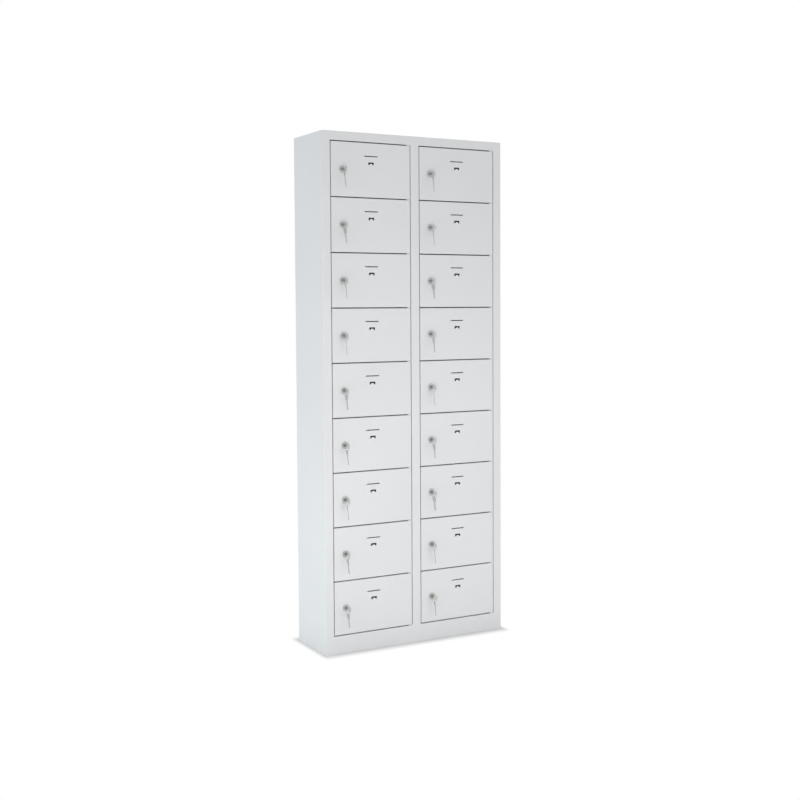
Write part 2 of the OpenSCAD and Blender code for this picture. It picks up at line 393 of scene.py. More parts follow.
class Along(Enum):
    """The axis that a folded strip runs along, with how its section lies in the frame."""

    Z = "section x, depth; runs up"
    X = "section depth, height; runs across"

    def lay(self, section: np.ndarray, stations: np.ndarray) -> np.ndarray:
        """Repeats a section at stations along the axis.

        Args:
            section: Array of shape (n, 2).
            stations: Array of k positions.

        Returns:
            Array of shape (n, k, 3).
        """
        a, b, s = np.broadcast_arrays(section[:, None, 0], section[:, None, 1], stations[None, :])
        return np.stack([a, b, s] if self is Along.Z else [s, a, b], axis=-1)


def folded_strip(
    path: np.ndarray, thickness: float, along: Along, start: float, stop: float
) -> Skin:
    """A strip of folded sheet: P(u, v) = path(u) carried along an axis from start to stop.

    The seen face is the path itself, the hidden face is the path moved by the thickness, and
    rims and end faces close the sheet.

    Args:
        path: The seen face in section, with the material on its left.
        thickness: Thickness of the sheet; negative puts the material on the right.
        along: Axis that the strip runs along.
        start: Start of the strip on that axis.
        stop: End of the strip on that axis.

    Returns:
        The closed strip.
    """
    skin = Skin()
    back = offset_path(path, thickness)
    ends = np.array([start, stop])
    skin.grid(along.lay(path, ends))
    skin.grid(along.lay(back[::-1], ends))
    for edge in (0, -1):
        skin.grid(along.lay(np.stack([path[edge], back[edge]]), ends))
    for end in ends:
        one = np.array([end])
        skin.grid(np.concatenate([along.lay(path, one), along.lay(back, one)], axis=1))
    return skin


def turned(profile: Sequence, segments: int) -> np.ndarray:
    """Rings about the depth axis: P(a, v) = (r(a, v) cos a, y(a, v), r(a, v) sin a).

    Args:
        profile: Radius and depth of each ring, each a number or one value for every step.
        segments: Number of steps round the axis.

    Returns:
        Array of shape (segments, n, 3).
    """
    a = np.linspace(0, 2 * math.pi, segments, endpoint=False)
    rings = [(r * np.cos(a), np.broadcast_to(y, a.shape), r * np.sin(a)) for r, y in profile]
    return np.stack([np.stack(ring, axis=-1) for ring in rings], axis=1)


def hexagon(inner: float, segments: int) -> np.ndarray:
    """Radius of a hexagon at equal steps: r(a) = inner / cos(a mod 60 - 30).

    Args:
        inner: Radius of the circle inside it.
        segments: Number of steps round the axis.

    Returns:
        Array of shape (segments,).
    """
    a = np.linspace(0, 2 * math.pi, segments, endpoint=False)
    return inner / np.cos((a % (math.pi / 3)) - math.pi / 6)


def joined(name: str, parts: Sequence[bpy.types.Mesh]) -> bpy.types.Mesh:
    """Puts several meshes into one, without welding them to each other.

    Args:
        name: Name of the new mesh.
        parts: The meshes; they are removed.

    Returns:
        The new mesh.
    """
    work = bmesh.new()
    for part in parts:
        work.from_mesh(part)
        bpy.data.meshes.remove(part)
    mesh = bpy.data.meshes.new(name)
    work.to_mesh(mesh)
    work.free()
    return mesh


# Finishes


class Nodes:
    """A node tree with short ways to add and join nodes."""

    def __init__(self, tree: bpy.types.NodeTree) -> None:
        """Keeps the tree."""
        self.tree = tree

    def fill(self, node: bpy.types.Node, values: dict) -> None:
        """Sets or feeds a node's inputs.

        Args:
            node: The node.
            values: Socket name or number to a value, or to an output socket that feeds it.
        """
        for key, value in values.items():
            if isinstance(value, bpy.types.NodeSocket):
                self.tree.links.new(value, node.inputs[key])
            else:
                node.inputs[key].default_value = value

    def add(self, kind: str, values: dict | None = None, **settings: object) -> bpy.types.Node:
        """Adds a node.

        Args:
            kind: Blender's name of the node type.
            values: What its inputs get, as for fill.
            settings: Properties of the node.

        Returns:
            The new node.
        """
        node = self.tree.nodes.new(kind)
        for key, value in settings.items():
            setattr(node, key, value)
        self.fill(node, values or {})
        return node

    def math(
        self, operation: str, a: object, b: object = 0.0, clamp: bool = False
    ) -> bpy.types.NodeSocket:
        """A sum on two values; returns its output."""
        node = self.add("ShaderNodeMath", {0: a, 1: b}, operation=operation, use_clamp=clamp)
        return node.outputs[0]

    def vector(self, operation: str, a: object, b: object = (0, 0, 0)) -> bpy.types.Node:
        """A sum on two vectors; returns its node."""
        return self.add("ShaderNodeVectorMath", {0: a, 1: b}, operation=operation)

    def noise(self, place: object, scale: object, detail: float) -> bpy.types.NodeSocket:
        """Noise from 0 to 1 over a position; returns its output."""
        values = {"Vector": place, "Scale": scale, "Detail": detail}
        return self.add("ShaderNodeTexNoise", values).outputs["Fac"]

    def spread(
        self,
        value: object,
        low: object,
        high: float,
        to_low: float = 0.0,
        to_high: float = 1.0,
        kind: str = "LINEAR",
    ) -> bpy.types.NodeSocket:
        """Stretches a value from one range to another, and keeps it in the new one.

        Args:
            value: The value.
            low: Start of its range.
            high: End of its range.
            to_low: Start of the new range.
            to_high: End of the new range.
            kind: Blender's name of the way between both ends.

        Returns:
            The output.
        """
        values = {"Value": value, "From Min": low, "From Max": high}
        values |= {"To Min": to_low, "To Max": to_high}
        return self.add("ShaderNodeMapRange", values, interpolation_type=kind).outputs[0]

    def blend(self, share: object, a: object, b: object) -> bpy.types.NodeSocket:
        """A colour between two; returns its output."""
        return self.add("ShaderNodeMix", {0: share, 6: a, 7: b}, data_type="RGBA").outputs[2]

    def mixed(self, share: object, a: object, b: object) -> bpy.types.NodeSocket:
        """A shader between two; returns its output."""
        return self.add("ShaderNodeMixShader", {0: share, 1: a, 2: b}).outputs[0]


def fresh(owner: bpy.types.Material | bpy.types.World) -> Nodes:
    """The emptied node tree of a material or world.

    Args:
        owner: The material or world.

    Returns:
        Its tree, with no node in it.
    """
    owner.use_nodes = True
    owner.node_tree.nodes.clear()
    return Nodes(owner.node_tree)


class Effect(Enum):
    """The shader groups that several finishes share."""

    DRIFT = "slow tone drift"
    RELIEF = "fine relief"
    RUBS = "rubbed marks"
    # A dark tone blended in, growing towards the floor
    FOOT_DARKENING = "dust near the floor"

    def tree(self) -> bpy.types.NodeTree:
        """The group's node tree, built the first time it is asked for.

        Returns:
            The node tree.
        """
        name = self.value.replace(" ", "_")
        known = bpy.data.node_groups.get(name)
        if known:
            return known
        tree = bpy.data.node_groups.new(name, "ShaderNodeTree")
        builders = {
            Effect.DRIFT: _drift,
            Effect.RELIEF: _relief,
            Effect.RUBS: _rubs,
            Effect.FOOT_DARKENING: _foot_dust,
        }
        builders[self](Nodes(tree))
        return tree


def _face(nodes: Nodes, takes: dict[str, tuple[str, float | None]], gives: dict[str, str]) -> tuple:
    """Gives a group its sockets.

    Args:
        nodes: The group's tree.
        takes: Input name to its kind and start value.
        gives: Output name to its kind.

    Returns:
        The outputs of the group's input node, and its output node.
    """
    kinds = {"value": "NodeSocketFloat", "colour": "NodeSocketColor", "vector": "NodeSocketVector"}
    for name, (kind, start) in takes.items():
        socket = nodes.tree.interface.new_socket(name=name, in_out="INPUT", socket_type=kinds[kind])
        if start is not None:
            socket.default_value = start
    for name, kind in gives.items():
        nodes.tree.interface.new_socket(name=name, in_out="OUTPUT", socket_type=kinds[kind])
    return nodes.add("NodeGroupInput").outputs, nodes.add("NodeGroupOutput")


def _drift(nodes: Nodes) -> None:
    """Colour that wanders slowly between two tones, by noise stretched over 0.35 to 0.65."""
    tone = ("colour", None)
    start, end = _face(
        nodes,
        {"Vector": ("vector", None), "Tone": tone, "Other Tone": tone, "Scale": ("value", 3.0)},
        {"Colour": "colour"},
    )
    share = nodes.spread(nodes.noise(start["Vector"], start["Scale"], 3.0), 0.35, 0.65)
    nodes.fill(end, {"Colour": nodes.blend(share, start["Tone"], start["Other Tone"])})


def _relief(nodes: Nodes) -> None:
    """Height of a fine skin: noise at the scale plus a third of noise at 3.1 times the scale."""
    start, end = _face(
        nodes,
        {"Vector": ("vector", None), "Scale": ("value", 600.0)},
        {"Height": "value", "Mask": "value"},
    )
    big = nodes.noise(start["Vector"], start["Scale"], 1.0)
    small = nodes.noise(start["Vector"], nodes.math("MULTIPLY", start["Scale"], 3.1), 0.0)
    height = nodes.math("ADD", big, nodes.math("MULTIPLY", small, 0.33))
    nodes.fill(end, {"Height": height, "Mask": big})


def _rubs(nodes: Nodes) -> None:
    """Mask of fine rubbed lines: noise on a position squeezed along one axis, over a threshold."""
    start, end = _face(
        nodes,
        {"Vector": ("vector", None), "Scale": ("value", 400.0), "Share": ("value", 0.4)},
        {"Mask": "value"},
    )
    squeeze = nodes.add("ShaderNodeMapping", {"Vector": start["Vector"], "Scale": (1.0, 1.0, 0.06)})
    noise = nodes.noise(squeeze.outputs[0], start["Scale"], 2.0)
    low = nodes.math("SUBTRACT", 1.0, start["Share"])
    nodes.fill(end, {"Mask": nodes.spread(noise, low, 1.0)})


def _foot_dust(nodes: Nodes) -> None:
    """Mask that grows towards the floor over a reach, broken up by noise."""
    start, end = _face(
        nodes, {"Vector": ("vector", None), "Reach": ("value", 0.12)}, {"Mask": "value"}
    )
    height = nodes.add("ShaderNodeSeparateXYZ", {"Vector": start["Vector"]}).outputs[2]
    share = nodes.math("DIVIDE", height, start["Reach"])
    low = nodes.math("SUBTRACT", 1.0, share, clamp=True)
    nodes.fill(end, {"Mask": nodes.math("MULTIPLY", low, nodes.noise(start["Vector"], 24.0, 3.0))})


def _group(nodes: Nodes, effect: Effect, values: dict) -> bpy.types.bpy_prop_collection:
    """Places a shared group in a material; returns its outputs."""
    return nodes.add("ShaderNodeGroup", values, node_tree=effect.tree()).outputs


@dataclass(frozen=True)
class Finish:
    """A surface finish on Object coordinates: two tones, a shine that wanders, and a fine skin."""

    name: str
    slot: Slot
    tone: tuple[float, float, float]
    other_tone: tuple[float, float, float]
    drift_scale: float
    metallic: float
    shine: tuple[float, float]
    relief_scale: float
    relief_depth: float
    rubs: float = 0.0
    dust: float = 0.0
    rubbed_share: float = 0.45
    dust_tone: tuple[float, float, float] = (0.42, 0.40, 0.37)

    def material(self) -> bpy.types.Material:
        """The finish as a material, built the first time it is asked for.

        Returns:
            The material.
        """
        known = bpy.data.materials.get(self.name)
        if known:
            return known
        material = bpy.data.materials.new(self.name)
        nodes = fresh(material)
        place = nodes.add("ShaderNodeTexCoord").outputs["Object"]
        drift = {
            "Vector": place,
            "Tone": (*self.tone, 1),
            "Other Tone": (*self.other_tone, 1),
            "Scale": self.drift_scale,
        }
        colour = _group(nodes, Effect.DRIFT, drift)["Colour"]
        relief = _group(nodes, Effect.RELIEF, {"Vector": place, "Scale": self.relief_scale})
        # Darker towards the floor: a dark tone blended in near the foot
        if self.dust:
            dust = _group(nodes, Effect.FOOT_DARKENING, {"Vector": place})["Mask"]
            share = nodes.math("MULTIPLY", dust, self.dust)
            colour = nodes.blend(share, colour, (*self.dust_tone, 1))
        shine = nodes.spread(relief["Mask"], 0.3, 0.7, *self.shine)
        if self.rubs:
            rubs = _group(nodes, Effect.RUBS, {"Vector": place, "Share": self.rubbed_share})["Mask"]
            shine = nodes.math("ADD", shine, nodes.math("MULTIPLY", rubs, self.rubs), clamp=True)
        bump = nodes.add(
            "ShaderNodeBump",
            {"Strength": 1.0, "Distance": self.relief_depth, "Height": relief["Height"]},
        )
        shader = nodes.add(
            "ShaderNodeBsdfPrincipled",
            {
                "Base Color": colour,
                "Metallic": self.metallic,
                "Roughness": shine,
                "Normal": bump.outputs[0],
            },
        )
        nodes.add("ShaderNodeOutputMaterial", {"Surface": shader.outputs[0]})
        return material


PAINT = Finish(
    "powder_coat_light_grey", Slot.PAINT, (0.726, 0.737, 0.748), (0.742, 0.752, 0.762), 2.6,
    0.0, (0.40, 0.50), 520.0, 0.000035, dust=0.10,
)
NICKEL = Finish(
    "nickel_plate_polished", Slot.NICKEL, (0.77, 0.765, 0.752), (0.83, 0.825, 0.81), 60.0,
    1.0, (0.14, 0.22), 900.0, 0.000008, rubs=0.25,
)
KEY_NICKEL = Finish(
    "nickel_plate_handled", Slot.NICKEL, (0.58, 0.578, 0.57), (0.66, 0.657, 0.648), 90.0,
    1.0, (0.22, 0.34), 1200.0, 0.000012, rubs=0.35,
)
# Plug nickel, far darker than the housing's: painted shade and dark reflection at the lock's centre
PLUG_NICKEL_PAINTED_SHADE = Finish(
    "nickel_plate_painted_shade", Slot.NICKEL, (0.40, 0.397, 0.39), (0.48, 0.476, 0.468), 60.0,
    1.0, (0.24, 0.36), 900.0, 0.000012, rubs=0.3,
)
ZINC = Finish(
    "zinc_plate_bright", Slot.ZINC, (0.52, 0.54, 0.57), (0.62, 0.63, 0.64), 70.0,
    1.0, (0.30, 0.44), 800.0, 0.000015, rubs=0.2,
)
RUBBER = Finish(
    "rubber_black", Slot.RUBBER, (0.020, 0.020, 0.021), (0.034, 0.033, 0.032), 120.0,
    0.0, (0.62, 0.78), 1500.0, 0.00003,
)


# Pieces


def piece(name: str, mesh: bpy.types.Mesh, finish: Finish, body: str, *stands_for: str) -> None:
    """Makes a dressed piece of the locker, ties it to its body and hides the nodes that it stands
    for.

    Args:
        name: Name of the piece.
        mesh: Its finished mesh, in place.
        finish: Its finish.
        body: The body that it rides on.
        stands_for: The nodes that it replaces.
    """
    mesh.name = name
    mesh.materials.clear()
    mesh.materials.append(finish.material())
    ob = added(name, mesh)
    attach(ob, body)
    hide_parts(*stands_for)


def moved(mesh: bpy.types.Mesh, place: Matrix) -> bpy.types.Mesh:
    """A copy of a mesh moved by a matrix."""
    copy = mesh.copy()
    copy.transform(place)
    copy.update()
    return copy


def at(x: float, y: float, z: float) -> Matrix:
    """A move by x, y and z in mm."""
    return Matrix.Translation((x * MM, y * MM, z * MM))


def turn(degrees: float, axis: str) -> Matrix:
    """A turn about an axis through the origin."""
    return Matrix.Rotation(math.radians(degrees), 4, axis)


@dataclass
class Cabinet:
    """The welded body: front frame, skins, shelves and the small parts fixed to them."""

    width: float = 780.0
    depth: float = 250.0
    height: float = 1950.0
    sheet: float = 1.2
    face_y: float = -102.65
    stile: float = 34.0
    centre_stile: float = 36.0
    head: float = 1917.0
    foot: float = 68.0
    lip_depth: float = 20.3
    lip: float = 10.0
    flange: float = 16.0
    shelf_depth: float = 24.7
    base_lap: float = 6.0
    bend: float = 1.6
    fixing_r: float = 4.5
    fixing_dx: float = 560.0
    fixing_edge: float = 175.0
    body: str = "cabinet"

    @property
    def half(self) -> float:
        """Half the width."""
        return self.width / 2

    @property
    def edge(self) -> float:
        """Distance of the side stiles' inner edges from the middle."""
        return self.half - self.stile

    @property
    def under_top(self) -> float:
        """Height of the top panel's lower face."""
        return self.height - self.sheet

    @property
    def openings(self) -> list[tuple[float, float]]:
        """Left and right edge of each column's opening."""
        half = self.centre_stile / 2
        return [(-self.edge, -half), (half, self.edge)]

    def strips(self, name: str, *skins: Skin) -> bpy.types.Mesh:
        """One mesh of several closed strips, moved to the cabinet's place.

        Args:
            name: Name of the mesh.
            skins: The strips.

        Returns:
            The finished mesh.
        """
        mesh = joined(name, [skin.mesh(name) for skin in skins])
        mesh.transform(at(0, self.face_y, 0))
        return Edging(angle=30).apply(mesh)

    def side_stile(self, side: int) -> bpy.types.Mesh:
        """A side stile: its face over the full height, and the fold along the openings.

        Sections of the strips, in order: the outer edge's quarter round and the face; the
        return welded to the side panel; along the openings the face's edge round, the inner
        return and, on the left, the strike lip; below and above them the plain face's edge.

        Args:
            side: -1 for the left stile, 1 for the right.

        Returns:
            The finished mesh.
        """
        t = -side * self.sheet
        near = side * (self.edge + self.bend)
        inner = side * self.edge
        outer = side * self.half
        face = fold_path([(outer, self.sheet), (outer, 0), (near, 0)], [self.sheet])
        welded = side * (self.half - self.sheet)
        lap = np.array([(welded, self.flange), (welded, self.sheet)])
        fold, radii = [(near, 0), (inner, 0)], [self.bend]
        if side < 0:
            fold += [(inner, self.lip_depth), (inner + self.lip, self.lip_depth)]
            radii.append(self.bend - self.sheet)
        else:
            fold.append((inner, self.lip_depth + self.sheet))
        plain = np.array([(near, 0.0), (inner, 0.0)])
        return self.strips(
            "stile",
            folded_strip(face, t, Along.Z, 0, self.under_top),
            folded_strip(lap, t, Along.Z, 0, self.under_top),
            folded_strip(fold_path(fold, radii), t, Along.Z, self.foot, self.head),
            folded_strip(plain, t, Along.Z, 0, self.foot),
            folded_strip(plain, t, Along.Z, self.head, self.under_top),
        )

    def middle_stile(self) -> bpy.types.Mesh:
        """The centre stile: back lip, hinge return, face, return and strike lip in one section."""
        half = self.centre_stile / 2
        back = self.lip_depth + self.sheet
        corners = [
            (self.sheet / 2, back), (-half, back), (-half, 0),
            (half, 0), (half, self.lip_depth), (half + self.lip, self.lip_depth),
        ]
        section = fold_path(corners, [self.bend, self.bend, self.bend, self.bend - self.sheet])
        strip = folded_strip(section, self.sheet, Along.Z, self.foot, self.head)
        return self.strips("stile", strip)

    def crossbar(
        self, name: str, face: Sequence, corners: Sequence[tuple[float, float]], thickness: float
    ) -> bpy.types.Mesh:
        """A bar between the side stiles: its face over the whole length, a fold with a return
        at each opening, and the face's plain edge at the centre stile.

        Args:
            name: Name of the mesh.
            face: Section of the face.
            corners: Corners of the fold, which the face's edge and the return meet at.
            thickness: Thickness of the sheet, with the sign of folded_strip.

        Returns:
            The finished mesh.
        """
        half = self.centre_stile / 2
        fold = fold_path(corners, [self.bend])
        runs = [
            (np.asarray(face, float), -self.edge, self.edge),
            (np.array(corners[:2], float), -half, half),
            *((fold, low, high) for low, high in self.openings),
        ]
        strips = [folded_strip(path, thickness, Along.X, low, high) for path, low, high in runs]
        return self.strips(name, *strips)

    def rail(self) -> bpy.types.Mesh:
        """The top rail, with a flange under the top panel."""
        near, top = self.head + self.bend, self.under_top
        corners = [(0, near), (0, self.head), (self.lip_depth, self.head)]
        return self.crossbar("rail", [(self.flange, top), (0, top), (0, near)], corners, self.sheet)

    def plinth(self) -> bpy.types.Mesh:
        """The plinth front, with a flange on the floor."""
        near = self.foot - self.bend
        face = fold_path([(self.flange, 0), (0, 0), (0, near)], [self.sheet])
        corners = [(0, near), (0, self.foot), (self.shelf_depth + self.base_lap, self.foot)]
        return self.crossbar("plinth", face, corners, -self.sheet)

    def side_skin(self, side: int) -> bpy.types.Mesh:
        """A side panel, from the stile's corner to the back panel."""
        x, back = side * self.half, self.depth - self.sheet
        path = np.array([(x, self.sheet), (x, back)])
        strip = folded_strip(path, side * self.sheet, Along.Z, 0, self.under_top)
        return self.strips("side", strip)

    def back_skin(self) -> bpy.types.Mesh:
        """The back panel over the rear edges, with its four fixing holes."""
        skin = Skin()
        square = 3 * self.fixing_r
        spans = (self.fixing_dx / 2, -self.fixing_dx / 2)
        heights = (self.fixing_edge, self.height - self.fixing_edge)
        xs = sorted([-self.half, self.half] + [x + d for x in spans for d in (-square, square)])
        zs = sorted([0.0, self.under_top] + [h + d for h in heights for d in (-square, square)])
        holes = [(x, h) for x in spans for h in heights]
        plate_with_holes(skin, xs, zs, self.depth, holes, self.fixing_r, 1)
        mesh = skin.mesh("back", closed=False)
        outward(mesh, (0.0, 1.0, 0.0))
        mesh.transform(at(0, self.face_y, 0))
        return Edging(thickness=self.sheet, round=0.35, angle=60).apply(mesh)

    def top_skin(self) -> bpy.types.Mesh:
        """The top panel: a flat sheet whose edge is a quarter round as high as the sheet.

        P(s, v) = c(s) + d(s) rho(v), with c and d the corner centre and outward direction at
        station s of the outline, and rho and height taken from the quarter round.
        """
        r = self.sheet
        half, back = self.half - r, self.depth - r
        skin = Skin()
        quarter = arc((0.0, self.under_top), r, 90, 0, 6)
        rim = skin.roll(*outline([-half, half], [r, back], 6), quarter, UP, True)[:, -1]
        flat = np.array([(-half, r), (half, r), (half, back), (-half, back)])
        skin.polygon(in_space(flat, self.height, UP))
        skin.polygon(rim)
        return self.strips("top", skin)

    def build(self) -> None:
        """Builds the skins and the front frame, and finishes the plain solids inside."""
        for name, mesh in (
            ("left_stile", self.side_stile(-1)),
            ("right_stile", self.side_stile(1)),
            ("centre_stile", self.middle_stile()),
            ("top_rail", self.rail()),
            ("plinth_front", self.plinth()),
            ("left_side_panel", self.side_skin(-1)),
            ("right_side_panel", self.side_skin(1)),
            ("back_panel", self.back_skin()),
            ("top_panel", self.top_skin()),
        ):
            piece(f"{name}_sheet", mesh, PAINT, self.body, name)
            log.info("%s: %d faces", name, len(mesh.polygons))
        for node, finish, edge_round, steps in (
            ("centre_partition", PAINT, 0.25, 2),
            ("base_panel", PAINT, 0.25, 2),
            ("left_column_shelves", PAINT, 0.3, 2),
            ("right_column_shelves", PAINT, 0.3, 2),
            ("pivot_brackets", PAINT, 0.4, 2),
            ("pivot_pins", ZINC, 0.4, 2),
            ("door_buffers", RUBBER, 0.9, 4),
        ):
            mesh = softened(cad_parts[node], edge_round, steps)
            piece(f"{node}_finished", mesh, finish, self.body, node)
            log.info("%s: %d faces", node, len(mesh.polygons))


def softened(node: bpy.types.Object, edge_round: float, steps: int) -> bpy.types.Mesh:
    """A node's own shape with merged flat faces and softened edges.

    Args:
        node: The node's object, which is left as it is.
        edge_round: Width of the edge round in mm.
        steps: Steps over the round.

    Returns:
        The finished mesh.
    """
    work = bmesh.new()
    work.from_mesh(node.data)
    bmesh.ops.remove_doubles(work, verts=work.verts, dist=WELD)
    bmesh.ops.dissolve_limit(
        work,
        angle_limit=math.radians(FLAT),
        use_dissolve_boundaries=False,
        verts=work.verts,
        edges=work.edges,
    )
    mesh = bpy.data.meshes.new("softened")
    work.to_mesh(mesh)
    work.free()
    return Edging(round=edge_round, segments=steps).apply(mesh)


def outward(mesh: bpy.types.Mesh, way: tuple[float, float, float]) -> None:
    """Turns an open sheet so that its largest face looks a given way.

    Args:
        mesh: The sheet, with all faces turned alike.
        way: The direction that the largest face should look.
    """
    with edited(mesh) as work:
        bmesh.ops.recalc_face_normals(work, faces=work.faces)
        widest = max(work.faces, key=lambda face: face.calc_area())
        if widest.normal.dot(way) < 0:
            bmesh.ops.reverse_faces(work, faces=work.faces)


def outline(xs: Sequence[float], ys: Sequence[float], steps: int) -> tuple[np.ndarray, np.ndarray]:
    """Stations round a rectangle with turned corners, anticlockwise from the lower left.

    Along a side, the centre runs through the given breaks and the direction is the side's
    normal; at a corner, the centre stays and the direction turns by 90 degrees.

    Args:
        xs: Breaks from the first to the last corner centre across.
        ys: Breaks from the first to the last corner centre up.
        steps: Steps over each corner.

    Returns:
        Centres and outward directions, each of shape (n, 2).
    """
    xs, ys = np.asarray(xs, float), np.asarray(ys, float)
    sides = [
        (np.column_stack([xs, np.full(len(xs), ys[0])]), -90.0),
        (np.column_stack([np.full(len(ys), xs[-1]), ys]), 0.0),
        (np.column_stack([xs[::-1], np.full(len(xs), ys[-1])]), 90.0),
        (np.column_stack([np.full(len(ys), xs[0]), ys[::-1]]), 180.0),
    ]
    centres, angles = [], []
    for line, angle in sides:
        centres.append(line)
        angles.append(np.full(len(line), angle))
        bend = np.linspace(angle, angle + 90, steps + 1)[1:-1]
        centres.append(np.repeat(line[-1:], len(bend), axis=0))
        angles.append(bend)
    a = np.radians(np.concatenate(angles))
    return np.concatenate(centres), np.stack([np.cos(a), np.sin(a)], axis=-1)


@dataclass(frozen=True)
class Window:
    """A rectangular opening in a plate, with its lower and upper corner rounds."""

    x: tuple[float, float]
    z: tuple[float, float]
    low: float
    high: float

    @property
    def breaks(self) -> tuple[list[float], list[float]]:
        """Grid breaks across and up that the opening needs."""
        reach = max(self.low, self.high)
        across = [self.x[0], self.x[0] + reach, self.x[1] - reach, self.x[1]]
        across += [self.x[0] + self.low, self.x[1] - self.low]
        return across, [self.z[0], self.z[0] + self.low, self.z[1] - self.high, self.z[1]]

    def corners(self, skin: Skin, depth: float) -> None:
        """Fills the corners: corner point, then r (cos a, sin a) about the round's centre."""
        for x, sx in zip(self.x, (1, -1)):
            for z, sz, r in zip(self.z, (1, -1), (self.low, self.high)):
                ring = arc((0, 0), r, 180, 270, 6) * (sx, sz) + (x + sx * r, z + sz * r)
                skin.polygon(in_space(np.concatenate([[(x, z)], ring]), depth))


def plate_with_holes(
    skin: Skin,
    xs: Sequence[float],
    zs: Sequence[float],
    depth: float,
    holes: Sequence[tuple[float, float]],
    radius: float,
    facing: int = -1,
    windows: Sequence[Window] = (),
    segments: int = 48,
) -> None:
    """A flat sheet on a grid of cells, with round holes and rectangular windows.

    Cell (i, j) spans xs[i] to xs[i + 1] and zs[j] to zs[j + 1]. Cells inside a window are left
    out. A cell centred on a hole becomes four faces, each between one side of the cell and a
    quarter of the circle centre + radius (cos a, sin a).

    Args:
        skin: Where the faces go.
        xs: Breaks across.
        zs: Breaks up.
        depth: Depth of the sheet.
        holes: Centres of the holes.
        radius: Radius of the holes.
        facing: -1 where the sheet faces the front, 1 where it faces the back.
        windows: Openings with corner rounds.
        segments: Steps round a hole.
    """
    gx, gz = np.meshgrid(np.asarray(xs, float), np.asarray(zs, float), indexing="ij")
    points = in_space(np.stack([gx, gz], axis=-1), depth)
    mid_x, mid_z = (gx[:-1, :-1] + gx[1:, 1:]) / 2, (gz[:-1, :-1] + gz[1:, 1:]) / 2
    keep = np.ones(mid_x.shape, dtype=bool)
    for window in windows:
        across = (mid_x > window.x[0]) & (mid_x < window.x[1])
        keep &= ~(across & (mid_z > window.z[0]) & (mid_z < window.z[1]))
        window.corners(skin, depth)
    for hole in holes:
        around = (np.abs(mid_x - hole[0]) < SAME) & (np.abs(mid_z - hole[1]) < SAME)
        keep &= ~around
        i, j = np.argwhere(around)[0]
        corners = points[[i, i + 1, i + 1, i], [j, j, j + 1, j + 1]][:, [0, 2]]
        for k in range(4):
            ring = arc(hole, radius, -45 + 90 * k, -135 + 90 * k, segments // 4)
            face = np.concatenate([corners[[k, (k + 1) % 4]], ring])
            skin.polygon(in_space(face, depth)[:: -facing])
    skin.grid(points, keep=keep)


